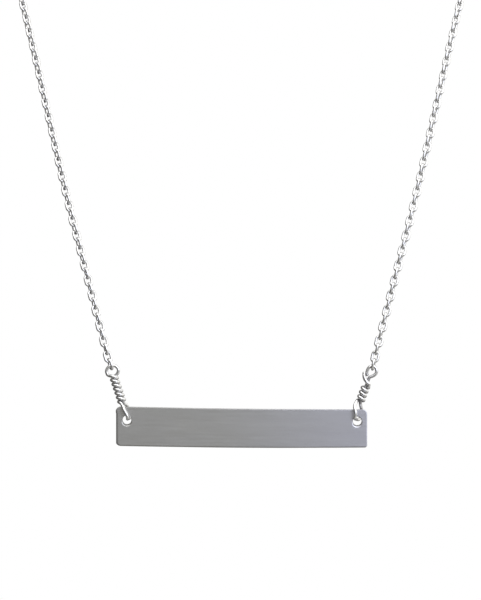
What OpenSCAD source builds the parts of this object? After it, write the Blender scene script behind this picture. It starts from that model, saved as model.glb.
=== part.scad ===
/* [Bar] */
// Length of the bar, end to end
bar_len = 38; // [30:0.5:50]
// Height of the bar
bar_h = 6; // [5:0.1:9]
// Thickness of the bar plate
bar_t = 0.7; // [0.6:0.05:0.8]
// Radius of the two upper corners
corner_r_top = 1.1; // [0.3:0.05:1.4]
// Radius of the lower left corner
corner_r_bottom_left = 0.75; // [0.3:0.05:1.4]
// Radius of the lower right corner
corner_r_bottom_right = 0.4; // [0.3:0.05:1.4]
// Diameter of the hole near each end
hole_d = 1.56; // [1.5:0.02:2]
// Distance from the bar's end to the centre of its hole
hole_inset = 1.57; // [1.4:0.01:2.2]
// Distance from the bar's upper edge to the centre of its holes
hole_drop = 2.05; // [1.9:0.05:2.15]
// Width of the bevel round the rim of each hole
hole_bevel = 0.08; // [0.04:0.01:0.14]

/* [Wrapped links] */
// Diameter of the wire of both wrapped links
wire_d = 0.46; // [0.4:0.01:0.48]
// Lean of each wrapped link away from the upright
link_lean = 16; // [12:0.5:20]
// Mean radius of the lower loop, which passes through the bar
lower_loop_r = 1.25; // [1.2:0.01:1.35]
// Clear height inside the lower loop
lower_loop_h = 2.65; // [2.6:0.05:3.2]
// Height of the lower loop's wire above the centre of the bar's hole
wire_seat = 0.2; // [0.14:0.01:0.24]
// Turn of the left link's lower loop about its stem
loop_turn_left = 16; // [8:1:20]
// Turn of the right link's lower loop about its stem
loop_turn_right = 22; // [8:1:24]
// Half turns of wire wrapped round each stem
wrap_half_turns = 11; // [7:2:15]
// Rise of the wrapped wire in one full turn
wrap_pitch = 0.72; // [0.6:0.01:0.9]
// Mean radius of the wraps
wrap_r = 0.44; // [0.42:0.01:0.45]
// Mean radius of the upper loop, which hangs on the chain
upper_loop_r = 0.83; // [0.78:0.01:1.2]
// Mean radius of the bend where the stem runs into the upper loop
neck_bend_r = 0.5; // [0.4:0.05:0.8]

/* [Chain] */
// Diameter of the wire that the chain's links are made of
chain_wire_d = 0.34; // [0.3:0.01:0.38]
// Outer width of one link
chain_link_w = 1.34; // [1.3:0.01:1.6]
// Outer length of one link
chain_link_len = 1.98; // [1.9:0.01:2.4]
// Clearance between wires that hang in each other
wire_gap = 0.1; // [0.08:0.01:0.12]

/* [Worn form] */
// Widest distance between the two sides of the chain round the neck
neck_w = 96; // [88:1:110]
// Distance from the nape to the bar, front to back
neck_depth = 95; // [80:1:110]
// Height of the nape above the holes of the bar
bar_drop = 125; // [110:1:140]

/* [Clasp] */
// Outer diameter of the clasp's ring
clasp_d = 5.5; // [5:0.1:7]
// Diameter of the clasp's tube
clasp_wire_d = 1.1; // [0.9:0.05:1.3]
// Outer diameter of the small eye on the clasp
eye_d = 2; // [1.9:0.05:2.4]
// Diameter of the wire of the small eye
eye_wire_d = 0.5; // [0.45:0.05:0.6]
// Length of the finger knob that stands off the clasp's ring
knob_len = 1.2; // [0.8:0.1:1.6]
// Diameter of the finger knob
knob_d = 0.7; // [0.5:0.05:0.9]
// Outer diameter of the catch ring
catch_ring_d = 3.4; // [3.2:0.1:4.5]
// Diameter of the wire of the catch ring
catch_wire_d = 0.6; // [0.5:0.05:0.7]

/* [Hidden] */

// The origin is the crossing of the clasp and the catch ring at the nape, with the bar in front at -Y.

left = -1;
right = 1;
silver = [0.80, 0.80, 0.82];
satin_silver = [0.62, 0.62, 0.65];

// Number of straight pieces that stand for a full circle of a wire or a loop
$fn = 24;
// Extra radius where two lengths of one wire join
joint_swell = 0.01;
// Extra length of a cutter past the face that it cuts
past = 1;

hole_x = bar_len / 2 - hole_inset;
hole_y = -neck_depth;
hole_z = -bar_drop;

wire_r = wire_d / 2;
chain_wire_r = chain_wire_d / 2;

// Heights along the axis of a wrapped link, from the centre of the bar's hole
lower_loop_z = wire_seat + lower_loop_r;
coil_bottom_z = wire_seat + wire_r + lower_loop_h + wire_r;
half_turn_rise = wrap_pitch / 2;
coil_top_z = coil_bottom_z + wrap_half_turns * half_turn_rise;
upper_loop_z = coil_top_z + sqrt(pow(upper_loop_r, 2) - pow(wrap_r, 2));
upper_loop_top_z = upper_loop_z + upper_loop_r;

// The lower loop's straight strands leave its arc at a tangent and end in the lowest wraps
strand_top_z = coil_bottom_z + half_turn_rise;
strand_top_dist = norm([wrap_r, strand_top_z - lower_loop_z]);
strand_angle = asin(lower_loop_r / strand_top_dist) - atan2(wrap_r, strand_top_z - lower_loop_z);
strand_len = sqrt(pow(strand_top_dist, 2) - pow(lower_loop_r, 2));

// The stem bends to the right into the upper loop, whose other end turns forward into the wraps
neck_height = sqrt(pow(upper_loop_r, 2) + 2 * upper_loop_r * neck_bend_r);
neck_z = upper_loop_z - neck_height;
neck_angle = asin(neck_height / (upper_loop_r + neck_bend_r));
upper_loop_angle = neck_angle + 270 - asin(wrap_r / upper_loop_r);
wrap_tilt = asin(half_turn_rise / (2 * wrap_r));

// A chain link, with round ends joined by two straight sides
link_end_r = (chain_link_w - chain_wire_d) / 2;
link_half_straight = (chain_link_len - chain_link_w) / 2;
link_end_reach = link_half_straight + link_end_r;
front_link_z = upper_loop_top_z - wire_r - wire_gap - chain_wire_r + link_end_reach;
chain_start_z = front_link_z + chain_link_len / 2 + wire_gap;

// Clasp and catch ring, along X from their crossing
clasp_r = (clasp_d - clasp_wire_d) / 2;
clasp_x = -clasp_r;
eye_r = (eye_d - eye_wire_d) / 2;
eye_x = clasp_x - clasp_d / 2 - eye_r;
catch_r = (catch_ring_d - catch_wire_d) / 2;
catch_x = catch_r - clasp_wire_d / 2 - wire_gap - catch_wire_d / 2;
back_link_x_left = -(eye_x - eye_r + eye_wire_d / 2 + wire_gap + chain_wire_r - link_end_reach);
back_link_x_right = catch_x + catch_r - catch_wire_d / 2 - wire_gap - chain_wire_r + link_end_reach;
chain_end_left = back_link_x_left + chain_link_len / 2 + wire_gap;
chain_end_right = back_link_x_right + chain_link_len / 2 + wire_gap;

// Route of the chain between its two ends, from the bar to the nape, right side.
// Columns: share of half the neck width, share of the neck depth, share of the bar's drop
ROUTE = [
    [0.490, 0.984, 0.824],
    [0.552, 0.961, 0.731],
    [0.611, 0.932, 0.637],
    [0.670, 0.897, 0.542],
    [0.730, 0.850, 0.453],
    [0.795, 0.782, 0.365],
    [0.862, 0.692, 0.280],
    [0.925, 0.580, 0.200],
    [0.978, 0.450, 0.130],
    [1.000, 0.315, 0.075],
    [0.960, 0.190, 0.036],
    [0.850, 0.098, 0.014],
    [0.660, 0.040, 0.004],
    [0.420, 0.010, 0.000],
    [0.220, 0.000, 0.000]
];
// Points of the smooth route between two rows of the table
route_steps = 2;
// Sides of the tube that stands for the chain's links
chain_sides = 8;
// A direction that no stretch of the chain runs along, used to set out the tube's rings
ring_reference = [1, -1, 1];

function link_point(z) = [hole_x + z * sin(link_lean), hole_y, hole_z + z * cos(link_lean)];

function route_point(row) = [row[0] * neck_w / 2, -row[1] * neck_depth, -row[2] * bar_drop];

function route_ends(end_x) = concat(
    [link_point(chain_start_z)],
    [for (row = ROUTE) route_point(row)],
    [[end_x, 0, 0]]
);

// A point on the smooth curve between b and c, with a and d as their outer neighbours
function smooth_point(a, b, c, d, u) =
    b + u * (c - a) / 2
    + u * u * (2 * a - 5 * b + 4 * c - d) / 2
    + u * u * u * (3 * b - a - 3 * c + d) / 2;

function clamped(points, i) = points[max(0, min(len(points) - 1, i))];

function smooth_route(points) = concat(
    [for (i = [0 : len(points) - 2], k = [0 : route_steps - 1])
        smooth_point(clamped(points, i - 1), points[i], points[i + 1], clamped(points, i + 2),
            k / route_steps)],
    [points[len(points) - 1]]
);

function unit(v) = v / norm(v);

function direction_at(path, i) = unit(clamped(path, i + 1) - clamped(path, i - 1));

function ring_at(centre, direction, r) =
    let (u = unit(cross(direction, ring_reference)), v = cross(direction, u))
    [for (k = [0 : chain_sides - 1])
        centre + r * (cos(360 * k / chain_sides) * u + sin(360 * k / chain_sides) * v)];

module tube(path, r) {
    n = chain_sides;
    last = len(path) - 1;
    points = [for (i = [0 : last]) each ring_at(path[i], direction_at(path, i), r)];
    sides = [for (i = [0 : last - 1], k = [0 : n - 1])
        [i * n + k, (i + 1) * n + k, (i + 1) * n + (k + 1) % n, i * n + (k + 1) % n]];
    start_cap = [[for (k = [0 : n - 1]) k]];
    end_cap = [[for (k = [n - 1 : -1 : 0]) last * n + k]];
    polyhedron(points, concat(start_cap, sides, end_cap));
}

module wire_arc(r, wire, angle) {
    rotate_extrude(angle = angle)
        translate([r, 0])
            circle(r = wire);
}

// A chain link along Z, with its flat side towards Y
module chain_link() {
    for (end = [0, 180])
        rotate([0, end, 0]) {
            translate([0, 0, link_half_straight])
                rotate([90, 0, 0])
                    wire_arc(link_end_r, chain_wire_r, 180);
            translate([link_end_r, 0, -link_half_straight])
                cylinder(r = chain_wire_r, h = 2 * link_half_straight);
        }
}

// A corner of the bar's face, with its centre and its radius
function face_corners() =
    let (half = bar_len / 2, top = hole_drop, bottom = hole_drop - bar_h)
    [
        [-half + corner_r_top, top - corner_r_top, corner_r_top],
        [half - corner_r_top, top - corner_r_top, corner_r_top],
        [half - corner_r_bottom_right, bottom + corner_r_bottom_right, corner_r_bottom_right],
        [-half + corner_r_bottom_left, bottom + corner_r_bottom_left, corner_r_bottom_left]
    ];

// The bar's face up to its corners, with X along the bar and the holes on the X axis
module bar_face() {
    corners = face_corners();
    polygon([
        for (i = [0 : 3])
            let (c = corners[i], r = c[2], out_x = sign(c[0]) * r, out_y = (i < 2 ? 1 : -1) * r)
            each i % 2 == 0
                ? [[c[0] + out_x, c[1]], [c[0], c[1] + out_y]]
                : [[c[0], c[1] + out_y], [c[0] + out_x, c[1]]]
    ]);
}

module bar_plate() {
    linear_extrude(height = bar_t, center = true)
        bar_face();
    for (c = face_corners())
        translate([c[0], c[1], 0])
            cylinder(r = c[2], h = bar_t, center = true);
}

module hole_cutter() {
    cylinder(d = hole_d, h = bar_t + 2 * past, center = true);
    for (face = [0, 180])
        rotate([face, 0, 0])
            translate([0, 0, bar_t / 2 - hole_bevel])
                cylinder(r1 = hole_d / 2, r2 = hole_d / 2 + 2 * hole_bevel, h = 2 * hole_bevel);
}

module bar() {
    color(satin_silver)
        translate([0, hole_y, hole_z])
            rotate([90, 0, 0])
                difference() {
                    bar_plate();
                    for (side = [left, right])
                        translate([side * hole_x, 0, 0])
                            hole_cutter();
                }
}

// Sets its children along the axis of one side's wrapped link, from the centre of the bar's hole
module along_link(side) {
    translate([side * hole_x, hole_y, hole_z])
        rotate([0, side * link_lean, 0])
            children();
}

// Closes the joint between two lengths of the wrapped link's wire
module wire_joint() {
    sphere(r = wire_r + joint_swell);
}

// The lower loop in the YZ plane: an arc and two straight strands that run up into the wraps
module lower_loop() {
    translate([0, 0, lower_loop_z])
        rotate([90, strand_angle - 180, 90])
            wire_arc(lower_loop_r, wire_r, 180 + 2 * strand_angle);
    for (strand = [-1, 1]) {
        translate([0, strand * wrap_r, strand_top_z])
            rotate([180 + strand * strand_angle, 0, 0])
                cylinder(r = wire_r, h = strand_len);
        translate([0, 0, lower_loop_z])
            rotate([strand * (90 + strand_angle), 0, 0])
                translate([0, 0, -lower_loop_r])
                    wire_joint();
    }
}

// The wire wrapped down round the stem, in half turns that tilt by turns to the left and right
module coil() {
    for (i = [0 : wrap_half_turns - 1])
        let (front = i % 2 == 0 ? 1 : -1)
        translate([0, 0, coil_top_z - (i + 0.5) * half_turn_rise])
            rotate([0, front * wrap_tilt, 0])
                rotate([0, 0, front == 1 ? 180 : 0])
                    wire_arc(wrap_r, wire_r, 180);
}

// The stem, its bend at the neck and the upper loop in the XZ plane
module stem_and_upper_loop() {
    translate([0, 0, coil_bottom_z])
        cylinder(r = wire_r, h = neck_z - coil_bottom_z);
    translate([0, 0, neck_z])
        wire_joint();
    translate([neck_bend_r, 0, neck_z])
        rotate([90, neck_angle - 180, 0])
            wire_arc(neck_bend_r, wire_r, neck_angle);
    translate([0, 0, upper_loop_z])
        rotate([90, neck_angle, 0]) {
            wire_arc(upper_loop_r, wire_r, upper_loop_angle);
            translate([upper_loop_r, 0, 0])
                wire_joint();
        }
}

module wrapped_link(side, loop_turn) {
    color(silver)
        along_link(side) {
            rotate([0, 0, -loop_turn])
                lower_loop();
            coil();
            stem_and_upper_loop();
        }
}

module front_link(side) {
    color(silver)
        along_link(side)
            translate([0, 0, front_link_z])
                rotate([0, 0, 90])
                    chain_link();
}

module chain(end_x) {
    color(silver)
        tube(smooth_route(route_ends(end_x)), chain_link_w / 2);
}

// A chain link along X; it stands upright or lies flat
module back_link(x, upright) {
    color(silver)
        translate([x, 0, 0])
            rotate([upright ? 0 : 90, 90, 0])
                chain_link();
}

module clasp() {
    color(silver) {
        translate([clasp_x, 0, 0])
            rotate([90, 0, 0])
                wire_arc(clasp_r, clasp_wire_d / 2, 360);
        translate([eye_x, 0, 0])
            rotate([90, 0, 0])
                wire_arc(eye_r, eye_wire_d / 2, 360);
        translate([clasp_x, 0, clasp_r])
            cylinder(d = knob_d, h = clasp_wire_d / 2 + knob_len);
    }
}

module catch_ring() {
    color(silver)
        translate([catch_x, 0, 0])
            wire_arc(catch_r, catch_wire_d / 2, 360);
}

bar();
wrapped_link(left, loop_turn_left);  // wrapped_link_left
wrapped_link(right, loop_turn_right);  // wrapped_link_right
front_link(left);  // front_link_left
front_link(right);  // front_link_right
mirror([1, 0, 0]) chain(chain_end_left);  // chain_left
chain(chain_end_right);  // chain_right
back_link(-back_link_x_left, false);  // back_link_left
back_link(back_link_x_right, true);  // back_link_right
clasp();
catch_ring();
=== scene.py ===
import math
import random

import bpy
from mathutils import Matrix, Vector
from mathutils.geometry import tessellate_polygon


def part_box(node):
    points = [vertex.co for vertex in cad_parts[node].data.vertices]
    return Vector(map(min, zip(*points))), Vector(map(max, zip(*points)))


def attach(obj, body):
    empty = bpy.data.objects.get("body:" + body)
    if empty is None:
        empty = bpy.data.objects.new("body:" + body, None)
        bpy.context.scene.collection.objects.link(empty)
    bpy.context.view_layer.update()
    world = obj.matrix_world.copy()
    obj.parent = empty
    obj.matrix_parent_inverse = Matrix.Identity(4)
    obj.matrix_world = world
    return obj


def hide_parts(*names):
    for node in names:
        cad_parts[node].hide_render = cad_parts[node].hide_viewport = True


# Lengths are in millimetres until a mesh, light or camera is made, where MM turns them into metres.
MM = 0.001

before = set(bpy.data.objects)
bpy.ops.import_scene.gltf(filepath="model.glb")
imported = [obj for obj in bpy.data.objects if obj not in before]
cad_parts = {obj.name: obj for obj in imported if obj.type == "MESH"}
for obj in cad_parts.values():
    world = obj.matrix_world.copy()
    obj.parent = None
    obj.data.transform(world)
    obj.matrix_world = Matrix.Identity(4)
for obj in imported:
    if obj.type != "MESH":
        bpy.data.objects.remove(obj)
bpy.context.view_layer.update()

UP = Vector((0, 0, 1))
AWAY = Vector((0, 1, 0))
ACROSS = Vector((1, 0, 0))
LEFT = -1
RIGHT = 1
BACKWARD = -1
FORWARD = 1


def node_box(node):
    low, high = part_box(node)
    return low / MM, high / MM


def circle_angles(count):
    """Evenly spaced angles round a circle."""
    return [2 * math.pi * k / count for k in range(count)]


# Bar, from its node's box, with the details that the box doesn't give
BAR_LOW, BAR_HIGH = node_box("bar")
BAR_LEN = BAR_HIGH.x - BAR_LOW.x
BAR_T = BAR_HIGH.y - BAR_LOW.y
BAR_Y = (BAR_LOW.y + BAR_HIGH.y) / 2
HOLE_INSET = 1.57
HOLE_DROP = 2.05
HOLE_R = 0.66
# How far each hole's centre lies from its inset and drop
HOLE_SHIFT = {LEFT: Vector((0.09, 0, 0.31)), RIGHT: Vector((0.11, 0, 0.14))}
# Width of the hole's rounded lip, how much wider it is below, and the width of its sloping wall below
HOLE_LIP = 0.08
HOLE_LIP_BELOW = 0.22
HOLE_WALL_BELOW = 0.1
HOLE_WALL_SLOPE = 65
HOLE_SIDES = 48
CORNER_TOP = 0.75
CORNER_BOTTOM_LEFT = 0.75
CORNER_BOTTOM_RIGHT = 0.4
# The hand-cut upper and lower edges: inset at the middle, lean over the bar's length, and bend
TOP_EDGE = (0.05, 0.45, -0.5)
BOTTOM_EDGE = (0.03, -0.25, 0.6)
# Inset of the bar's right end, below zero because it stands out a little
RIGHT_EDGE = -0.04
EDGE_WAVE = 0.012
# Size, rate along the bar and shift for the other edge of each wave, and the most that they come to
EDGE_WAVES = [(1, 9, 2), (0.5, 23, 5)]
WAVE_REACH = 1.5
# Width of the rounded edge on each side, seen from the front, and its depth
ROUND_LEFT = 0.32
ROUND_RIGHT = 0.05
ROUND_TOP = 0.05
ROUND_BOTTOM = 0.17
ROUND_DEPTH = 0.17
HOLE_BACK_ROUND = 2 * ROUND_DEPTH / 3
# Width of the flat rim next to each rounded edge, where its painted shade fades out
FLAT_RIM = 0.08

# Wrapped links, along the axis of each from the centre of the bar's hole
HOLE_X = BAR_LEN / 2 - HOLE_INSET
HOLE_Z = BAR_HIGH.z - HOLE_DROP
LEAN = math.radians(16)
WIRE_R = 0.238
LOWER_LOOP_R = 1.12
LOWER_LOOP_Z = {LEFT: 1.5, RIGHT: 1.48}
# How square the lower loop's bottom is, where the wire is bent round the edge of the hole: 2 is round
LOOP_SQUARENESS = 5
# The lower loop hangs a little towards the middle of the bar, and each strand is turned by itself
LOOP_SHIFT = {LEFT: 0.35, RIGHT: -0.2}
FRONT_TURN = {LEFT: math.radians(11), RIGHT: math.radians(15)}
# How far the front strand leans to the right at its lower end, and bows to the left at its upper end
FRONT_LEAN = {LEFT: 0.25, RIGHT: 0.0}
FRONT_BOW = {LEFT: 0, RIGHT: -0.4}
BACK_TURN = {LEFT: math.radians(22), RIGHT: math.radians(34)}
COIL_BOTTOM = 3.12
COIL_TOP = 7.27
WRAPS = 6
WRAP_R = 0.442
# The wraps are pressed against each other, and look this much thicker
WRAP_SWELL = 0.13
# Angle at which the last wrap turns into the front strand
LAST_WRAP = {LEFT: 215, RIGHT: 180}
WRAP_SLANT = {LEFT: 0.13, RIGHT: 0.05}
UPPER_LOOP_R = 0.83
UPPER_LOOP_Z = 7.974
# Width of each upper loop as a share of its height, and the angle at which its wire starts
UPPER_LOOP_W = {LEFT: 1.1, RIGHT: 0.84}
UPPER_LOOP_START = {LEFT: 192, RIGHT: 238}
NECK_BEND_R = 0.5
# The link isn't quite straight: how far it lies to the right at its lowest wrap, highest wrap, and loop
SIDE_PUSH = {LEFT: (0.18, 0.04, 0.1), RIGHT: (-0.3, 0.0, 0.15)}
# The right link's last wrap ends in a tail that stands up beside its upper loop
TAIL_START = 1030
TAIL = [
    (0.3, -0.42, 5.98),
    (-0.18, -0.52, 6.28),
    (-0.58, -0.48, 6.62),
    (-0.84, -0.38, 7.06),
    (-0.98, -0.28, 7.48),
]

# Chain
LINK_WIRE_R = 0.185
LINK_END_R = 0.485
# The first link is wider, and clears the upper loop at the limit of its swing
FIRST_LINK_END_R = 0.58
LINK_PITCH = 1.2
LINK_PLAY = 0.01
# The first link hangs looser in the upper loop, which turns in it when the pendant swings
LOOP_PLAY = 0.1
LINK_REACH = LINK_PITCH / 2 + LINK_WIRE_R + LINK_PLAY
# Where the chain starts along the wrapped link's axis, where it ends, and its last link's place
CHAIN_START = 10.214
CHAIN_END = {LEFT: 7.84, RIGHT: 3.19}
BACK_LINK = {LEFT: 6.8, RIGHT: 2.15}
NECK_W = 96
# Share of half the neck width, share of the neck depth, share of the bar's drop
ROUTE = [
    (0.488, 0.984, 0.824),
    (0.552, 0.961, 0.731),
    (0.611, 0.932, 0.637),
    (0.670, 0.897, 0.542),
    (0.730, 0.850, 0.453),
    (0.795, 0.782, 0.365),
    (0.862, 0.692, 0.280),
    (0.925, 0.580, 0.200),
    (0.978, 0.450, 0.130),
    (0.9995, 0.315, 0.075),
    (0.960, 0.190, 0.036),
    (0.850, 0.098, 0.014),
    (0.660, 0.040, 0.004),
    (0.420, 0.010, 0.000),
    (0.220, 0.000, 0.000),
]
ROUTE_STEPS = 16


class Shape:
    """Vertices in millimetres, faces and a value of tarnish and painted shade for each vertex, gathered
    for one mesh.
    """

    def __init__(self):
        self.vertices = []
        self.faces = []
        self.tarnish_and_shade = []

    def add_ring(self, points, tarnish_and_shade):
        first = len(self.vertices)
        self.vertices.extend(points)
        self.tarnish_and_shade.extend(tarnish_and_shade)
        return range(first, first + len(points))

    def join(self, ring, following):
        count = len(ring)
        for k in range(count):
            after = (k + 1) % count
            self.faces.append((ring[k], ring[after], following[after], following[k]))

    def close(self, ring, pole, tarnish_and_shade, flip):
        tip = len(self.vertices)
        self.vertices.append(pole)
        self.tarnish_and_shade.append(tarnish_and_shade)
        count = len(ring)
        for k in range(count):
            pair = (ring[k], ring[(k + 1) % count])
            self.faces.append((pair[1], pair[0], tip) if flip else (pair[0], pair[1], tip))

    def to_object(self, name):
        mesh = bpy.data.meshes.new(name)
        mesh.from_pydata([v * MM for v in self.vertices], [], self.faces)
        mesh.polygons.foreach_set("use_smooth", [True] * len(mesh.polygons))
        attribute = mesh.attributes.new("tarnish_and_shade", "FLOAT", "POINT")
        attribute.data.foreach_set("value", self.tarnish_and_shade)
        mesh.validate()
        piece = bpy.data.objects.new(name, mesh)
        bpy.context.scene.collection.objects.link(piece)
        return piece


def no_tarnish_and_shade(centre, outward):
    return 0.0


def tangent_at(path, i, closed):
    count = len(path)
    if closed:
        return (path[(i + 1) % count] - path[i - 1]).normalized()
    return (path[min(i + 1, count - 1)] - path[max(i - 1, 0)]).normalized()


def sweep(shape, path, radius, sides, normal, closed=False, tarnish_and_shade=no_tarnish_and_shade, swell=None):
    """Draws a round wire along a path. An open wire gets rounded ends."""
    rings = []
    for i, centre in enumerate(path):
        tangent = tangent_at(path, i, closed)
        normal = (normal - tangent * normal.dot(tangent)).normalized()
        across = tangent.cross(normal)
        r = radius * (1 + swell(i) if swell else 1)
        rings.append((centre, tangent, normal, across, r))
    if not closed:
        rings = end_rings(rings[0], BACKWARD) + rings + end_rings(rings[-1], FORWARD)
    made = []
    for centre, tangent, normal, across, r in rings:
        out = [normal * math.cos(a) + across * math.sin(a) for a in circle_angles(sides)]
        made.append(shape.add_ring([centre + o * r for o in out], [tarnish_and_shade(centre, o) for o in out]))
    for ring, following in zip(made, made[1:]):
        shape.join(ring, following)
    if closed:
        shape.join(made[-1], made[0])
    else:
        ends = ((made[0], rings[0], BACKWARD), (made[-1], rings[-1], FORWARD))
        for ring, (centre, tangent, _, _, r), way in ends:
            shape.close(ring, centre + tangent * way * r * END_TIP, 0.0, way == BACKWARD)


def smooth_point(a, b, c, d, u):
    return (
        b
        + (c - a) * (u / 2)
        + (a * 2 - b * 5 + c * 4 - d) * (u * u / 2)
        + (b * 3 - a - c * 3 + d) * (u**3 / 2)
    )


def smooth_path(knots, steps):
    """Points on one smooth curve through the knots."""
    last = len(knots) - 1
    path = []
    for i in range(last):
        a, b, c, d = knots[max(i - 1, 0)], knots[i], knots[i + 1], knots[min(i + 2, last)]
        path += [smooth_point(a, b, c, d, k / steps) for k in range(steps)]
    return path + [knots[-1]]


def smooth_share(value, first, last):
    """From 0 where the value is first to 1 where it is last, with no corner at either."""
    u = max(0.0, min(1.0, (value - first) / (last - first)))
    return u * u * (3 - 2 * u)


# Rings of a wire's rounded end, and how far the rings and the tip reach, as shares of the wire's radius
END_STEPS = 3
END_SHARPNESS = 0.45
END_TIP = 0.3


def end_rings(ring, way):
    """Rings that round off a wire's end, as a cut and tumbled end is."""
    centre, tangent, normal, across, r = ring
    made = []
    for k in range(1, END_STEPS + 1):
        a = k / (END_STEPS + 1) * math.pi / 2
        step = tangent * (way * r * END_SHARPNESS * math.sin(a))
        narrowed = r * (END_SHARPNESS * math.cos(a) + 1 - END_SHARPNESS)
        made.append((centre + step, tangent, normal, across, narrowed))
    return made[::-1] if way == BACKWARD else made


# Bar


def bar_corners():
    """Centre, radius and first angle of each corner, anticlockwise from the lower left."""
    left, right = BAR_LOW.x, BAR_HIGH.x
    bottom, top = BAR_LOW.z, BAR_HIGH.z
    return [
        (left + CORNER_BOTTOM_LEFT, bottom + CORNER_BOTTOM_LEFT, CORNER_BOTTOM_LEFT, 180),
        (right - CORNER_BOTTOM_RIGHT, bottom + CORNER_BOTTOM_RIGHT, CORNER_BOTTOM_RIGHT, 270),
        (right - CORNER_TOP, top - CORNER_TOP, CORNER_TOP, 0),
        (left + CORNER_TOP, top - CORNER_TOP, CORNER_TOP, 90),
    ]


CORNER_STEPS = 10
EDGE_STEP = 0.8


def bar_outline():
    """Pairs of a point and its outward normal round the bar's face."""
    arcs = []
    for x, z, r, first in bar_corners():
        arc = []
        for k in range(CORNER_STEPS + 1):
            a = math.radians(first + 90 * k / CORNER_STEPS)
            out = Vector((math.cos(a), 0, math.sin(a)))
            arc.append((Vector((x, BAR_Y, z)) + out * r, out))
        arcs.append(arc)
    outline = []
    for arc, following in zip(arcs, arcs[1:] + arcs[:1]):
        outline.extend(arc)
        start, end = arc[-1][0], following[0][0]
        count = round((end - start).length / EDGE_STEP)
        outline.extend((start.lerp(end, k / count), arc[-1][1]) for k in range(1, count))
    return outline


def edge_offset(point, out):
    """How far the hand-cut edge lies inside the node's outline."""
    along = point.x / BAR_LEN
    middle, lean, bend = TOP_EDGE if out.z > 0 else BOTTOM_EDGE
    inset = (middle + lean * along + bend * along**2) * abs(out.z) + RIGHT_EDGE * max(0, out.x)
    wave = sum(size * math.sin(rate * along + shift * out.z) for size, rate, shift in EDGE_WAVES)
    return inset + EDGE_WAVE * (WAVE_REACH + wave) / 2


def edge_round(out):
    """Width of the rounded edge where the outline faces this way."""
    side = ROUND_LEFT if out.x < 0 else ROUND_RIGHT
    level = ROUND_TOP if out.z > 0 else ROUND_BOTTOM
    return side * out.x**2 + level * out.z**2


ROUND_STEPS = 5


def round_profile():
    """Inset as a share of the rounded edge's width, and depth behind the front face."""
    front = []
    for k in range(ROUND_STEPS + 1):
        a = math.pi / 2 * k / ROUND_STEPS
        front.append((1 - math.sin(a), ROUND_DEPTH * (1 - math.cos(a))))
    back = [(inset, BAR_T - depth) for inset, depth in front[::-1]]
    return front + back


def hole_profile():
    """Rows of a hole's wall: shares of the lip and of the sloping wall, extra width, sink, depth, painted
    shade.
    """
    rows = [(1, 1, FLAT_RIM, 0, 0, 0)]
    slope = math.radians(HOLE_WALL_SLOPE)
    for k in range(ROUND_STEPS + 1):
        a = slope * k / ROUND_STEPS
        lip = 1 - math.sin(a) / math.sin(slope)
        sink = (1 - math.cos(a)) / math.sin(slope)
        rows.append((lip, 1, 0, sink, 0, k / ROUND_STEPS))
    rows.append((0, 0, 0, 0, BAR_T - HOLE_BACK_ROUND, 1))
    rows.append((1, 0, 0, 0, BAR_T, 1))
    rows.append((1, 0, FLAT_RIM, 0, BAR_T, 0))
    return rows


def bar_shape():
    shape = Shape()
    outline = bar_outline()
    holes = [Vector((side * HOLE_X, BAR_Y, HOLE_Z)) + HOLE_SHIFT[side] for side in (LEFT, RIGHT)]
    hole_turn = [Vector((math.cos(a), 0, -math.sin(a))) for a in circle_angles(HOLE_SIDES)]
    front_y = BAR_LOW.y

    def outer_ring(inset, extra, depth, tarnish_and_shade):
        points = []
        for point, out in outline:
            p = point - out * (edge_offset(point, out) + edge_round(out) * inset + extra)
            points.append(Vector((p.x, front_y + depth, p.z)))
        return shape.add_ring(points, [tarnish_and_shade] * len(points))

    def hole_ring(centre, lip, wall, extra, sink, depth, tarnish_and_shade):
        points = []
        for out in hole_turn:
            below = max(0, -out.z)
            lip_width = HOLE_LIP + HOLE_LIP_BELOW * below
            r = HOLE_R + lip_width * lip + HOLE_WALL_BELOW * below * wall + extra
            y = front_y + depth + lip_width * sink
            points.append(Vector((centre.x + out.x * r, y, centre.z + out.z * r)))
        return shape.add_ring(points, [tarnish_and_shade] * len(points))

    profile = [(1, FLAT_RIM, 0)] + [(inset, 0, depth) for inset, depth in round_profile()]
    profile.append((1, FLAT_RIM, BAR_T))
    # Painted shade on the rounded edges, none on the flat rims
    edge_shades = [0 if inset == 1 else 1 for inset, _, _ in profile]
    walls = [[outer_ring(*row, tarnish_and_shade) for row, tarnish_and_shade in zip(profile, edge_shades)]]
    for centre in holes:
        walls.append([hole_ring(centre, *row) for row in hole_profile()])
    for rings in walls:
        for ring, following in zip(rings, rings[1:]):
            shape.join(following, ring)
    for end, facing in ((0, -1), (-1, 1)):
        loops = [rings[end] for rings in walls]
        fill_face(shape, loops, facing)
    return shape


def fill_face(shape, loops, facing):
    """Fills a flat face between its outline and its holes, with its normal along Y the way given."""
    order = [i for loop in loops for i in loop]
    flat = [[Vector((shape.vertices[i].x, shape.vertices[i].z, 0)) for i in loop] for loop in loops]
    for a, b, c in tessellate_polygon(flat):
        a, b, c = order[a], order[b], order[c]
        p, q, r = (shape.vertices[i] for i in (a, b, c))
        turned = (q - p).cross(r - p).y * facing
        shape.faces.append((a, b, c) if turned > 0 else (a, c, b))


# Wrapped links


def link_frame(side):
    """Origin and axes of a wrapped link: to the right, away from the front, and up its axis."""
    origin = Vector((side * HOLE_X, BAR_Y, HOLE_Z))
    axis = Vector((side * math.sin(LEAN), 0, math.cos(LEAN)))
    across = Vector((math.cos(LEAN), 0, -side * math.sin(LEAN)))
    return origin, across, axis


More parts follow.
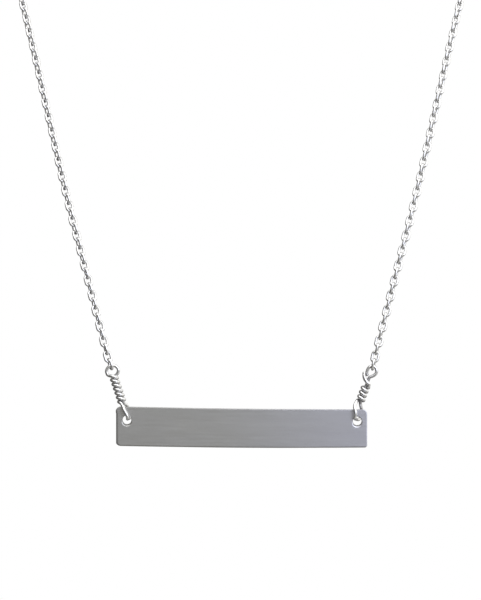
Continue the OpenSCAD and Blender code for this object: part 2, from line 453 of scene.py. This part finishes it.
def side_push(side, height):
    """How far the wire lies to the right of its link's axis at a height along it."""
    lowest, highest, at_loop = SIDE_PUSH[side]
    push = lowest + (highest - lowest) * smooth_share(height, COIL_BOTTOM, COIL_TOP)
    push += (at_loop - highest) * smooth_share(height, COIL_TOP, UPPER_LOOP_Z)
    return push * smooth_share(height, LOWER_LOOP_Z[side], COIL_BOTTOM)


def placed(side, point):
    """Turns a point of a wrapped link's own frame into one of the part's frame."""
    origin, across, axis = link_frame(side)
    return origin + across * point.x + AWAY * point.y + axis * point.z


def wrap_point(side, angle):
    """A point of the wraps, from the left at 180 degrees over the front and down."""
    turns = (angle - 180) / 360
    a = math.radians(angle)
    z = COIL_TOP - turns * (COIL_TOP - COIL_BOTTOM) / WRAPS - WRAP_SLANT[side] * math.cos(a)
    return Vector((WRAP_R * math.cos(a), WRAP_R * math.sin(a), z))


def arc_points(centre, r, first, last, axis_u, axis_v, step):
    """Points of an arc from its first to its last angle, no further apart than the step."""
    count = max(2, math.ceil(abs(math.radians(last - first)) * r / step))
    made = []
    for k in range(count + 1):
        a = math.radians(first + (last - first) * k / count)
        made.append(centre + axis_u * (r * math.cos(a)) + axis_v * (r * math.sin(a)))
    return made


def bridge(before, after, pull, step):
    """A smooth bend from the end of one stretch of wire to the start of the next."""
    a, b = before[-1], after[0]
    size = (b - a).length
    leave = (before[-1] - before[-2]).normalized() * size * pull
    arrive = (after[1] - after[0]).normalized() * size * pull
    count = max(3, math.ceil(size / step))
    made = []
    for k in range(1, count):
        u = k / count
        made.append(
            a * (2 * u**3 - 3 * u**2 + 1)
            + leave * (u**3 - 2 * u**2 + u)
            + b * (3 * u**2 - 2 * u**3)
            + arrive * (u**3 - u**2)
        )
    return made


WIRE_STEP = 0.09
WIRE_SIDES = 18
WRAP_STEP = 10
# Angle of the wraps where the left link's two ends of wire meet, how far each ends before it, and
# the angle where its upper wraps turn into its upper loop
CUT_END = 1170
CUT_GAP = 14
UPPER_WRAPS_END = 225
STEM_BOTTOM = 3.5
TAIL_STEPS = 5
# Angles at which the lower loop leaves the back strand and joins the front strand
LOOP_FIRST = 36
LOOP_LAST = -204
# Height at which the front strand has its full bow, and share of the loop's radius where its lean is full
BOW_TOP = 2.2
LEAN_REACH = 0.9
# How stiffly the wire bends between two stretches, and from the upper wraps to the upper loop
BEND_PULL = 0.9
HEAD_PULL = 1.15


def lower_loop_points(side):
    """The lower loop, from the back strand down through the hole and up the front strand."""
    made = []
    height = LOWER_LOOP_Z[side]
    for point in arc_points(UP * height, LOWER_LOOP_R, LOOP_FIRST, LOOP_LAST, AWAY, UP, WIRE_STEP):
        drop = point.z - height
        if drop < 0:
            n = LOOP_SQUARENESS
            size = (abs(point.y / LOWER_LOOP_R)**n + abs(drop / LOWER_LOOP_R)**n) ** (-1 / n)
            point = Vector((point.x, point.y * size, height + drop * size))
        turn = BACK_TURN[side] if point.y > 0 else FRONT_TURN[side]
        sideways = point.y * math.sin(turn) + LOOP_SHIFT[side]
        if point.y < 0:
            upward = smooth_share(point.z, height - LOWER_LOOP_R / 2, BOW_TOP)
            ahead = smooth_share(-point.y, BAR_T / 2, LOWER_LOOP_R * LEAN_REACH)
            sideways += FRONT_BOW[side] * upward + FRONT_LEAN[side] * (1 - upward) * ahead
        made.append(Vector((sideways, point.y * math.cos(turn), point.z)))
    return made


def wrapped_wire_path(side):
    """One wire: upper loop, stem, lower loop and wraps. The left wire starts in wraps of its own."""
    neck_height = math.sqrt(UPPER_LOOP_R**2 + 2 * UPPER_LOOP_R * NECK_BEND_R)
    neck_angle = math.degrees(math.asin(neck_height / (UPPER_LOOP_R + NECK_BEND_R)))
    neck_z = UPPER_LOOP_Z - neck_height
    last_wrap = LAST_WRAP[side] + 360 * WRAPS

    start = UPPER_LOOP_START[side]
    upper_loop = arc_points(UP * UPPER_LOOP_Z, UPPER_LOOP_R, start, -neck_angle, ACROSS, UP, WIRE_STEP)
    bend = ACROSS * NECK_BEND_R + UP * neck_z
    neck = arc_points(bend, NECK_BEND_R, 180 - neck_angle, 180, ACROSS, UP, WIRE_STEP)
    head = [Vector((p.x * UPPER_LOOP_W[side], p.y, p.z)) for p in upper_loop + neck[1:]]
    stem_count = round((neck_z - STEM_BOTTOM) / WIRE_STEP)
    stem = [UP * (neck_z + (STEM_BOTTOM - neck_z) * k / stem_count) for k in range(1, stem_count + 1)]
    lower_loop = lower_loop_points(side)
    top_wrap = CUT_END + CUT_GAP if side == LEFT else TAIL_START
    lower_wraps = [wrap_point(side, a) for a in range(last_wrap, top_wrap, -WRAP_STEP)]

    path = head + stem
    path += bridge(stem, lower_loop, BEND_PULL, WIRE_STEP) + lower_loop
    path += bridge(lower_loop, lower_wraps, BEND_PULL, WIRE_STEP) + lower_wraps
    if side == RIGHT:
        return path + smooth_path(path[-2:] + [Vector(knot) for knot in TAIL], TAIL_STEPS)[TAIL_STEPS:]
    upper_wraps = [wrap_point(side, a) for a in range(CUT_END - CUT_GAP, UPPER_WRAPS_END, -WRAP_STEP)]
    return upper_wraps + bridge(upper_wraps, head, HEAD_PULL, WIRE_STEP) + path


# How far the tarnish and painted shade reach below and above the wraps, and how strong they are on their
# outside
TARNISH_AND_SHADE_BELOW = 0.3
TARNISH_AND_SHADE_ABOVE = 0.4
WRAP_TARNISH_AND_SHADE = 0.6


def wrap_tarnish_and_shade(side):
    """Tarnish and painted shade where neighbouring wraps and the stem meet, full on the stem."""
    origin, across, axis = link_frame(side)

    def tarnish_and_shade(centre, out):
        height = (centre - origin).dot(axis)
        spoke = centre - origin - axis * height - across * side_push(side, height)
        if not COIL_BOTTOM - TARNISH_AND_SHADE_BELOW < height < COIL_TOP + TARNISH_AND_SHADE_ABOVE:
            return 0.0
        if spoke.length < WRAP_R / 2:
            return 1.0
        return max(0.0, min(1.0, WRAP_TARNISH_AND_SHADE - out.dot(spoke.normalized())))

    return tarnish_and_shade


# Height over which the swell of the wraps fades, and share of their radius where it is full
SWELL_FADE = 0.3
SWELL_FULL = 0.9


def wrapped_link_shape(side):
    shape = Shape()
    local = wrapped_wire_path(side)
    path = [placed(side, point + ACROSS * side_push(side, point.z)) for point in local]

    def swell(k):
        centre = local[min(k, len(local) - 1)]
        spoke = math.hypot(centre.x, centre.y)
        inside = smooth_share(centre.z, COIL_BOTTOM - SWELL_FADE, COIL_BOTTOM)
        inside *= smooth_share(-centre.z, -COIL_TOP, SWELL_FADE - COIL_TOP)
        return WRAP_SWELL * inside * smooth_share(spoke, WRAP_R / 2, WRAP_R * SWELL_FULL)

    sweep(shape, path, WIRE_R, WIRE_SIDES, UP, tarnish_and_shade=wrap_tarnish_and_shade(side), swell=swell)
    return shape


# Chain


def chain_path(side):
    """The chain's centreline from its front link to its back link."""
    drop = -HOLE_Z
    depth = -BAR_Y
    knots = [placed(side, UP * CHAIN_START)]
    knots += [Vector((side * x * NECK_W / 2, -y * depth, -z * drop)) for x, y, z in ROUTE]
    knots.append(Vector((side * CHAIN_END[side], 0, 0)))
    front_link_z = UPPER_LOOP_Z + UPPER_LOOP_R - WIRE_R - LOOP_PLAY - LINK_WIRE_R + LINK_REACH
    path = [placed(side, Vector((side_push(side, UPPER_LOOP_Z) / 2, 0, front_link_z)))]
    path += smooth_path(knots, ROUTE_STEPS)
    path.append(Vector((side * BACK_LINK[side], 0, 0)))
    return path


class Measured:
    """A path that can be read at a distance along it."""

    def __init__(self, path):
        self.path = path
        self.at = [0.0]
        for a, b in zip(path, path[1:]):
            self.at.append(self.at[-1] + (b - a).length)
        self.length = self.at[-1]

    def point(self, s):
        if s <= 0:
            return self.path[0] + (self.path[1] - self.path[0]).normalized() * s
        for i in range(1, len(self.at)):
            if self.at[i] >= s:
                share = (s - self.at[i - 1]) / (self.at[i] - self.at[i - 1])
                return self.path[i - 1].lerp(self.path[i], share)
        return self.path[-1] + (self.path[-1] - self.path[-2]).normalized() * (s - self.length)


LINK_STATIONS = 28
LINK_SIDES = 12
# How far the links are turned about the run near the pendant, and from PICTURE_TOP on
FIRST_ROLL = {LEFT: 18, RIGHT: -12}
PICTURE_ROLL = {LEFT: 40, RIGHT: -35}
PICTURE_TOP = 60
# Every second link leans back, and the ones between lean forward
LINK_TILT = 7
TILT_SPREAD = 2
ROLL_SPREAD = 5
CHAIN_SEED = 7
# The soldered seam of a link: how much thicker it is, and its reach in stations
SEAM_SWELL = 0.05
SEAM_REACH = 2
# Tarnish and painted shade inside a link's ends: its distance from the middle, the length of its fade, and
# its strength
TARNISH_AND_SHADE_START = 0.4
TARNISH_AND_SHADE_FADE = 0.3
LINK_TARNISH_AND_SHADE = 0.6
NEAR_ZERO = 1e-6


def link_outline(centre, along, flat, end_r):
    """Points round one link, with its length along its run and its width along flat."""
    half_straight = LINK_REACH - end_r
    made = []
    for a in circle_angles(LINK_STATIONS):
        shift = math.copysign(half_straight, math.sin(a)) if abs(math.sin(a)) > NEAR_ZERO else 0
        made.append(centre + along * (end_r * math.sin(a) + shift) + flat * (end_r * math.cos(a)))
    return made


def link_tarnish_and_shade(centre, along):
    """Tarnish and painted shade inside the ends of a link, where the next links hang."""

    def tarnish_and_shade(point, out):
        height = (point - centre).dot(along)
        near_end = max(0.0, min(1.0, (abs(height) - TARNISH_AND_SHADE_START) / TARNISH_AND_SHADE_FADE))
        inward = max(0.0, -out.dot(along) * math.copysign(1, height))
        return LINK_TARNISH_AND_SHADE * near_end * inward

    return tarnish_and_shade


def chain_shape(side):
    shape = Shape()
    run = Measured(chain_path(side))
    count = round(run.length / LINK_PITCH)
    spacing = run.length / count
    draw = random.Random(CHAIN_SEED + side)
    frames = []
    flat = AWAY.copy()
    for i in range(count + 1):
        s = i * spacing
        along = (run.point(s + spacing / 2) - run.point(s - spacing / 2)).normalized()
        flat = (flat - along * flat.dot(along)).normalized()
        frames.append((s, run.point(s), along, flat.copy()))
    wanted = UP if side == RIGHT else AWAY
    if count % 2:
        wanted = frames[-1][2].cross(wanted)
    last_flat = frames[-1][3]
    miss = math.degrees(math.atan2(last_flat.cross(wanted).dot(frames[-1][2]), last_flat.dot(wanted)))
    last_roll = miss - 180 * round((miss - PICTURE_ROLL[side]) / 180)
    for i, (s, centre, along, flat) in enumerate(frames):
        roll = FIRST_ROLL[side] + (PICTURE_ROLL[side] - FIRST_ROLL[side]) * smooth_share(s, 0, PICTURE_TOP)
        roll += (last_roll - PICTURE_ROLL[side]) * smooth_share(s, PICTURE_TOP, run.length)
        roll += 90 * (i % 2)
        if 0 < i < count:
            roll += draw.uniform(-ROLL_SPREAD, ROLL_SPREAD)
            tilt = (LINK_TILT if i % 2 else -LINK_TILT) + draw.uniform(-TILT_SPREAD, TILT_SPREAD)
            back = (AWAY - along * AWAY.dot(along)).normalized()
            along = (along + back * math.tan(math.radians(tilt))).normalized()
            flat = (flat - along * flat.dot(along)).normalized()
        a = math.radians(roll)
        turned = flat * math.cos(a) + along.cross(flat) * math.sin(a)
        outline = link_outline(centre, along, turned, LINK_END_R if i else FIRST_LINK_END_R)
        plane = along.cross(turned)
        seam = draw.randrange(LINK_STATIONS)

        def swell(k):
            away = min(abs(k - seam), LINK_STATIONS - abs(k - seam))
            return SEAM_SWELL * max(0.0, 1 - away / SEAM_REACH)

        sweep(shape, outline, LINK_WIRE_R, LINK_SIDES, plane, True, link_tarnish_and_shade(centre, along), swell)
    return shape


# Clasp

CLASP_R = 2.2
CLASP_WIRE_R = 0.55
CLASP_X = -2.2
CLASP_STEP = 0.12
CLASP_SIDES = 24
# Angles of the tube, of the tongue in its gap and of the middle of each collar
TUBE = (62, 358)
TONGUE = (-10, 70)
COLLARS = (62, -2)
TONGUE_SHARE = 0.68
TONGUE_SIDES = 20
COLLAR_HALF = 3
COLLAR_RISE = 0.04
COLLAR_STEP = 0.06
EYE_R = 0.75
EYE_WIRE_R = 0.25
EYE_X = -5.7
EYE_STEP = 0.1
EYE_SIDES = 14
# The knob's neck is thinner, and widens over its last steps
KNOB_TOP = 3.7
KNOB_NECK_R = 0.28
KNOB_SWELL = 0.25
KNOB_STEPS = 8
KNOB_NECK_STEPS = 6
KNOB_SIDES = 16


def clasp_shape():
    """A closed spring ring: its tube, the thinner tongue in the gap, the finger knob and the eye."""
    shape = Shape()
    centre = Vector((CLASP_X, 0, 0))
    tube = arc_points(centre, CLASP_R, *TUBE, ACROSS, UP, CLASP_STEP)
    sweep(shape, tube, CLASP_WIRE_R, CLASP_SIDES, AWAY)
    tongue = arc_points(centre, CLASP_R, *TONGUE, ACROSS, UP, CLASP_STEP)
    sweep(shape, tongue, CLASP_WIRE_R * TONGUE_SHARE, TONGUE_SIDES, AWAY)
    for angle in COLLARS:
        ends = (angle - COLLAR_HALF, angle + COLLAR_HALF)
        collar = arc_points(centre, CLASP_R, *ends, ACROSS, UP, COLLAR_STEP)
        sweep(shape, collar, CLASP_WIRE_R + COLLAR_RISE, CLASP_SIDES, AWAY)
    knob_step = (KNOB_TOP - CLASP_R) / KNOB_STEPS
    knob = [centre + UP * (CLASP_R + knob_step * k) for k in range(KNOB_STEPS + 1)]

    def knob_swell(k):
        return KNOB_SWELL * max(0, k - KNOB_NECK_STEPS) / (KNOB_STEPS - KNOB_NECK_STEPS)

    sweep(shape, knob, KNOB_NECK_R, KNOB_SIDES, AWAY, swell=knob_swell)
    eye = arc_points(Vector((EYE_X, 0, 0)), EYE_R, 0, 360, ACROSS, UP, EYE_STEP)[:-1]
    sweep(shape, eye, EYE_WIRE_R, EYE_SIDES, AWAY, closed=True)
    return shape


# Materials

# Sockets of the Mix node for two colours
MIX_SHARE = 0
MIX_LOW = 6
MIX_HIGH = 7
MIX_RESULT = 2


class Nodes:
    """Short calls for building a material's nodes."""

    def __init__(self, tree):
        self.tree = tree
        tree.nodes.clear()

    def add(self, kind, **settings):
        node = self.tree.nodes.new(kind)
        for name, value in settings.items():
            setattr(node, name, value)
        return node

    def link(self, source, target):
        self.tree.links.new(source, target)

    def stretched(self, scale):
        place = self.add("ShaderNodeTexCoord").outputs["Object"]
        mapping = self.add("ShaderNodeMapping")
        mapping.inputs["Scale"].default_value = scale
        self.link(place, mapping.inputs["Vector"])
        return mapping.outputs["Vector"]

    def noise(self, scale, detail, roughness=0.5):
        node = self.add("ShaderNodeTexNoise")
        node.inputs["Scale"].default_value = 1
        node.inputs["Detail"].default_value = detail
        node.inputs["Roughness"].default_value = roughness
        self.link(self.stretched(scale), node.inputs["Vector"])
        return node.outputs["Fac"]

    def ranged(self, value, low, high, from_low=0.3, from_high=0.7):
        node = self.add("ShaderNodeMapRange")
        ends = {"From Min": from_low, "From Max": from_high, "To Min": low, "To Max": high}
        for name, number in ends.items():
            node.inputs[name].default_value = number
        self.link(value, node.inputs["Value"])
        return node.outputs["Result"]

    def mixed(self, share, low, high):
        node = self.add("ShaderNodeMix", data_type="RGBA")
        for place, colour in ((MIX_LOW, low), (MIX_HIGH, high)):
            socket = node.inputs[place]
            if isinstance(colour, tuple):
                socket.default_value = (*colour, 1)
            else:
                self.link(colour, socket)
        self.link(share, node.inputs[MIX_SHARE])
        return node.outputs[MIX_RESULT]

    def ramp(self, value, stops, tint):
        node = self.add("ShaderNodeValToRGB")
        elements = node.color_ramp.elements
        elements.remove(elements[1])
        for k, (at, grey) in enumerate(stops):
            element = elements[0] if k == 0 else elements.new(at)
            element.position = at
            element.color = (*(grey * share for share in tint), 1)
        self.link(value, node.inputs["Fac"])
        return node.outputs["Color"]

    def maths(self, operation, a, b):
        node = self.add("ShaderNodeMath", operation=operation)
        for socket, value in zip(node.inputs, (a, b)):
            if isinstance(value, (int, float)):
                socket.default_value = value
            else:
                self.link(value, socket)
        return node.outputs[0]

    def bump(self, height, distance, normal=None):
        node = self.add("ShaderNodeBump")
        node.inputs["Strength"].default_value = 1
        node.inputs["Distance"].default_value = distance
        self.link(height, node.inputs["Height"])
        if normal:
            self.link(normal, node.inputs["Normal"])
        return node.outputs["Normal"]

    def metal(self, colour, roughness, normal):
        shader = self.add("ShaderNodeBsdfPrincipled")
        shader.inputs["Metallic"].default_value = 1
        self.link(colour, shader.inputs["Base Color"])
        self.link(roughness, shader.inputs["Roughness"])
        self.link(normal, shader.inputs["Normal"])
        output = self.add("ShaderNodeOutputMaterial")
        self.link(shader.outputs["BSDF"], output.inputs["Surface"])


def new_material(name):
    material = bpy.data.materials.new(name)
    material.use_nodes = True
    return material, Nodes(material.node_tree)


# The scale of each noise is how often it repeats in a metre along each axis
WIRE_CLOUDS = (900, 900, 900)
WIRE_MARKS = (7000, 7000, 7000)
WIRE_MARK_DEPTH = 0.0000008
WIRE_DARK = (0.84, 0.84, 0.85)
WIRE_LIGHT = (0.93, 0.93, 0.93)
WIRE_ROUGHNESS = (0.15, 0.25)
# Colour of the tarnish and painted shade where wires meet
TARNISH_AND_SHADE = (0.4, 0.4, 0.41)
TARNISH_AND_SHADE_SHARE = 0.8
TARNISH_ROUGHNESS = 0.2


def polished_silver():
    """Bright silver wire, with faint drawing marks, and tarnish with painted shade where wires meet."""
    material, nodes = new_material("polished_silver")
    tarnish_and_shade_mask = nodes.add("ShaderNodeAttribute", attribute_name="tarnish_and_shade").outputs["Fac"]
    cloud = nodes.noise(WIRE_CLOUDS, detail=3)
    marks = nodes.noise(WIRE_MARKS, detail=2)
    clean = nodes.mixed(nodes.ranged(cloud, 0, 1), WIRE_DARK, WIRE_LIGHT)
    # Tarnish and painted shade darken the colour where wires meet
    colour = nodes.mixed(nodes.maths("MULTIPLY", tarnish_and_shade_mask, TARNISH_AND_SHADE_SHARE), clean, TARNISH_AND_SHADE)
    rougher = nodes.maths("MULTIPLY", tarnish_and_shade_mask, TARNISH_ROUGHNESS)
    rough = nodes.maths("ADD", nodes.ranged(marks, *WIRE_ROUGHNESS), rougher)
    nodes.metal(colour, rough, nodes.bump(marks, WIRE_MARK_DEPTH))
    return material


# Painted reflection: the plate is a little lighter and bluer towards its right end, from this share of its
# length on
PAINTED_REFLECTION_START = -0.1
PLATE_LEFT = (0.575, 0.575, 0.555)
PLATE_RIGHT = (0.64, 0.645, 0.72)
# Each share is how much of the colour above it shows at most
STREAKS = (60, 60, 2600)
STREAK_LIGHT = (1.0, 1.0, 1.0)
STREAK_SHARE = 0.08
HAIRLINES = (260, 260, 16000)
BRUSHED_DEPTH = 0.000004
PLATE_CLOUDS = (90, 90, 160)
CLOUD_COLOUR = (0.62, 0.62, 0.65)
CLOUD_SHARE = 0.3
# Painted shade on the rounded edges and the hole walls
EDGE_SHADE_COLOUR = (0.3, 0.3, 0.31)
EDGE_SHADE_SHARE = 0.25
PLATE_ROUGHNESS = (0.34, 0.46)


def satin_silver():
    """Silver plate brushed along its length, with softened edges darkened by painted shade, and a painted
    reflection that makes its right end lighter and bluer.
    """
    material, nodes = new_material("satin_silver")
    tarnish_and_shade_mask = nodes.add("ShaderNodeAttribute", attribute_name="tarnish_and_shade").outputs["Fac"]
    streaks = nodes.noise(STREAKS, detail=3)
    hairlines = nodes.noise(HAIRLINES, detail=4, roughness=0.6)
    cloud = nodes.noise(PLATE_CLOUDS, detail=2)
    along = nodes.add("ShaderNodeSeparateXYZ")
    nodes.link(nodes.add("ShaderNodeTexCoord").outputs["Object"], along.inputs["Vector"])
    # Painted reflection, lighter and bluer towards the right end
    painted_reflection_share = nodes.ranged(along.outputs["X"], 0, 1, PAINTED_REFLECTION_START * BAR_LEN * MM, BAR_LEN / 2 * MM)
    base = nodes.mixed(painted_reflection_share, PLATE_LEFT, PLATE_RIGHT)
    clean = nodes.mixed(nodes.ranged(streaks, 0, STREAK_SHARE), base, STREAK_LIGHT)
    tinted = nodes.mixed(nodes.ranged(cloud, 0, CLOUD_SHARE), clean, CLOUD_COLOUR)
    # Painted shade darkens the rounded edges and the hole walls
    colour = nodes.mixed(nodes.maths("MULTIPLY", tarnish_and_shade_mask, EDGE_SHADE_SHARE), tinted, EDGE_SHADE_COLOUR)
    rough = nodes.ranged(hairlines, *PLATE_ROUGHNESS)
    normal = nodes.bump(streaks, BRUSHED_DEPTH)
    nodes.metal(colour, rough, nodes.bump(hairlines, BRUSHED_DEPTH, normal))
    return material


FLOOR_CLOUDS = (1.5, 1.5, 1.5)
FLOOR_DARK = (0.55, 0.55, 0.55)
FLOOR_LIGHT = (0.57, 0.57, 0.57)
FLOOR_ROUGHNESS = 0.9
FLOOR_GLOW = 0.45


def pale_floor():
    """A matt floor with a faint glow of its own, so that it stays pale far from the lights."""
    material, nodes = new_material("pale_floor")
    shader = nodes.add("ShaderNodeBsdfPrincipled")
    shader.inputs["Roughness"].default_value = FLOOR_ROUGHNESS
    cloud = nodes.noise(FLOOR_CLOUDS, detail=3)
    nodes.link(nodes.mixed(cloud, FLOOR_DARK, FLOOR_LIGHT), shader.inputs["Base Color"])
    shader.inputs["Emission Color"].default_value = (1, 1, 1, 1)
    shader.inputs["Emission Strength"].default_value = FLOOR_GLOW
    output = nodes.add("ShaderNodeOutputMaterial")
    nodes.link(shader.outputs["BSDF"], output.inputs["Surface"])
    return material


# Studio

FLOOR_Z = -900
FLOOR_R = 6800
FLOOR_SIDES = 96
# The place that the lights point at
AIM = Vector((0, BAR_Y, -105))
CAMERA_PLACE = Vector((-0.14, -545, -106.54))
LENS = 178.2
SENSOR_WIDTH = 36


def make_camera():
    data = bpy.data.cameras.new("camera")
    data.lens = LENS
    data.sensor_width = SENSOR_WIDTH
    camera = bpy.data.objects.new("camera", data)
    camera.location = CAMERA_PLACE * MM
    camera.rotation_euler = (math.radians(90), 0, 0)
    bpy.context.scene.collection.objects.link(camera)
    bpy.context.scene.camera = camera


def toward(azimuth, elevation, distance):
    """A place seen from the pendant: azimuth from the camera's side round to the right, in degrees."""
    turn, rise = math.radians(azimuth), math.radians(elevation)
    way = Vector((math.sin(turn) * math.cos(rise), -math.cos(turn) * math.cos(rise), math.sin(rise)))
    return AIM + way * distance


def add_softbox(name, azimuth, elevation, distance, width, height, radiance, colour):
    place = toward(azimuth, elevation, distance)
    data = bpy.data.lights.new(name, "AREA")
    data.shape = "RECTANGLE"
    data.size = width * MM
    data.size_y = height * MM
    data.energy = radiance * math.pi * data.size * data.size_y
    data.color = colour
    light = bpy.data.objects.new(name, data)
    light.location = place * MM
    light.rotation_euler = (AIM - place).to_track_quat("-Z", "Y").to_euler()
    light.visible_camera = False
    bpy.context.scene.collection.objects.link(light)


# Name, azimuth, elevation, distance, width, height, radiance and colour of each soft light
SOFT_LIGHTS = [
    ("key_box", 32, 14, 300, 170, 200, 2.3, (0.78, 0.83, 1.0)),
    ("sky_box", 0, 65, 4000, 5000, 5000, 1.5, (1.0, 1.0, 1.0)),
]

# Brightness of the room by the height of the direction, from -1 straight down to 1 straight up
ROOM = [(-1.0, 0.4), (-0.5, 0.36), (-0.3, 0.25), (-0.06, 0.25), (0.06, 0.49), (0.3, 0.6), (1.0, 0.6)]
ROOM_TINT = (1.0, 0.985, 0.945)
# Share of that brightness on the left, against all of it on the right
LEFT_SHARE = 0.45
LEFT_FADE = (-0.8, 0.2)
# Share of it behind the object, against all of it on the camera's side
BEHIND_SHARE = 0.4
BEHIND_FADE = (-0.2, 0.4)
# Strength of it far to the right, where a window lets light in from the front and the back alike
WINDOW_STRENGTH = 2.5
WINDOW_FADE = (0.35, 0.9)
# Strength of it straight behind, which the bar's back reflects
BACK_WALL_STRENGTH = 1.3
BACK_WALL_FADE = (0.82, 0.95)


def make_lights():
    for row in SOFT_LIGHTS:
        add_softbox(*row)


def make_world():
    """White behind the object, and for its reflections a room with a bright ceiling over darker walls."""
    world = bpy.data.worlds.new("studio")
    world.use_nodes = True
    nodes = Nodes(world.node_tree)
    seen = nodes.add("ShaderNodeBackground")
    seen.inputs["Color"].default_value = (1, 1, 1, 1)
    way = nodes.add("ShaderNodeSeparateXYZ")
    nodes.link(nodes.add("ShaderNodeTexCoord").outputs["Generated"], way.inputs["Vector"])
    stops = [((z + 1) / 2, grey) for z, grey in ROOM]
    room = nodes.ramp(nodes.ranged(way.outputs["Z"], 0, 1, -1, 1), stops, ROOM_TINT)
    around = nodes.add("ShaderNodeBackground")
    nodes.link(room, around.inputs["Color"])
    sideways = nodes.ranged(way.outputs["X"], LEFT_SHARE, 1, *LEFT_FADE)
    behind = nodes.ranged(way.outputs["Y"], 1, BEHIND_SHARE, *BEHIND_FADE)
    window = nodes.ranged(way.outputs["X"], 0, WINDOW_STRENGTH, *WINDOW_FADE)
    back_wall = nodes.ranged(way.outputs["Y"], 0, BACK_WALL_STRENGTH, *BACK_WALL_FADE)
    strength = nodes.maths("MAXIMUM", nodes.maths("MULTIPLY", sideways, behind), window)
    nodes.link(nodes.maths("MAXIMUM", strength, back_wall), around.inputs["Strength"])
    mix = nodes.add("ShaderNodeMixShader")
    nodes.link(nodes.add("ShaderNodeLightPath").outputs["Is Camera Ray"], mix.inputs[0])
    nodes.link(around.outputs[0], mix.inputs[1])
    nodes.link(seen.outputs[0], mix.inputs[2])
    nodes.link(mix.outputs[0], nodes.add("ShaderNodeOutputWorld").inputs["Surface"])
    bpy.context.scene.world = world


def make_floor():
    shape = Shape()
    middle = UP * FLOOR_Z
    rim = []
    for a in circle_angles(FLOOR_SIDES):
        rim.append(middle + Vector((FLOOR_R * math.cos(a), FLOOR_R * math.sin(a), 0)))
    ring = shape.add_ring(rim, [0] * len(rim))
    shape.close(ring, middle, 0, False)
    floor = shape.to_object("floor")
    floor.data.materials.append(pale_floor())
    floor.visible_glossy = False


def add_piece(name, shape, material, slot, body, *nodes):
    piece = shape.to_object(name)
    piece.data.materials.append(material)
    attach(piece, body)
    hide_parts(*nodes)


def make_necklace():
    silver = polished_silver()
    satin = satin_silver()
    add_piece("bar_plate", bar_shape(), satin, "satin_silver", "bar", "bar")
    for side, name in ((LEFT, "left"), (RIGHT, "right")):
        add_piece(
            f"wrapped_wire_{name}", wrapped_link_shape(side), silver, "polished_silver", "links",
            f"wrapped_link_{name}",
        )
        add_piece(
            f"chain_links_{name}", chain_shape(side), silver, "polished_silver", "necklace",
            f"chain_{name}", f"front_link_{name}", f"back_link_{name}",
        )
    add_piece("spring_ring", clasp_shape(), silver, "polished_silver", "necklace", "clasp")
    catch_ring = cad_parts["catch_ring"]
    catch_ring.data.materials.clear()
    catch_ring.data.materials.append(silver)


make_camera()
make_world()
make_lights()
make_floor()
make_necklace()
bpy.context.scene.view_settings.view_transform = "Standard"
